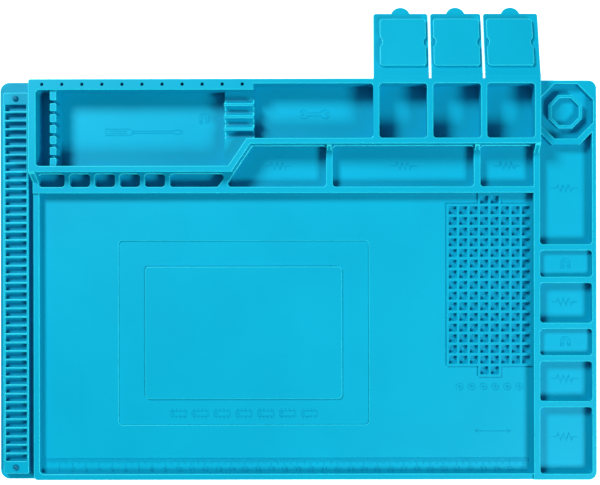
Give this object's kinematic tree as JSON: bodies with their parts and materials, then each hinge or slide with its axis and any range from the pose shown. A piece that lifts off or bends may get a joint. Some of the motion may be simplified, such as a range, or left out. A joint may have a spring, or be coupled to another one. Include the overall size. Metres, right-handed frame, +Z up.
{
  "type": "soldering work mat",
  "caption": "Soft silicone work mat for soldering and repair, with a board recess, a screw-cell grid, tool trays, parts bins, a card rack and hinged box lids",
  "frame": {"origin": "middle of the mat's underside, on the surface it lies on", "axes": "+X along the length to the side bins, +Y to the rear edge with the lids, +Z up"},
  "size_m": [0.45, 0.3556, 0.0252],
  "materials": {
    "silicone": "satin, slightly translucent moulded silicone",
    "magnet": "dark flexible ferrite strip"
  },
  "bodies": {
    "mat": {"base_sheet": "silicone", "work_panel": "silicone", "board_recess": "silicone", "board_plateau": "silicone", "screw_grid": "silicone", "work_rim": "silicone", "card_rack": "silicone", "card_rack_ribs": "silicone", "rack_stud_rear": "silicone", "rack_stud_front": "silicone", "tool_tray": "silicone", "tweezer_comb": "silicone", "tool_rest": "silicone", "tools_bin": "silicone", "lidded_boxes": "silicone", "small_cells": "silicone", "parts_row": "silicone", "side_column": "silicone", "corner_cup": "silicone", "cup_ring": "silicone", "bin_magnet_1": "magnet", "bin_magnet_2": "magnet", "tool_tray_magnet": "magnet", "lid_hinge_1": "silicone", "lid_hinge_2": "silicone", "lid_hinge_3": "silicone"},
    "lid_1": {"lid_1": "silicone"},
    "lid_2": {"lid_2": "silicone"},
    "lid_3": {"lid_3": "silicone"}
  },
  "joints": [
    {"name": "lid_1_fold", "type": "hinge", "parent": "mat", "child": "lid_1", "pos_m": [0.0781, 0.152, 0.025], "axis": [1, 0, 0], "range_deg": [0, 200], "deforming": ["lid_hinge_1"]},
    {"name": "lid_2_fold", "type": "hinge", "parent": "mat", "child": "lid_2", "pos_m": [0.1194, 0.152, 0.025], "axis": [1, 0, 0], "range_deg": [0, 200], "deforming": ["lid_hinge_2"]},
    {"name": "lid_3_fold", "type": "hinge", "parent": "mat", "child": "lid_3", "pos_m": [0.1607, 0.152, 0.025], "axis": [1, 0, 0], "range_deg": [0, 200], "deforming": ["lid_hinge_3"]}
  ]
}
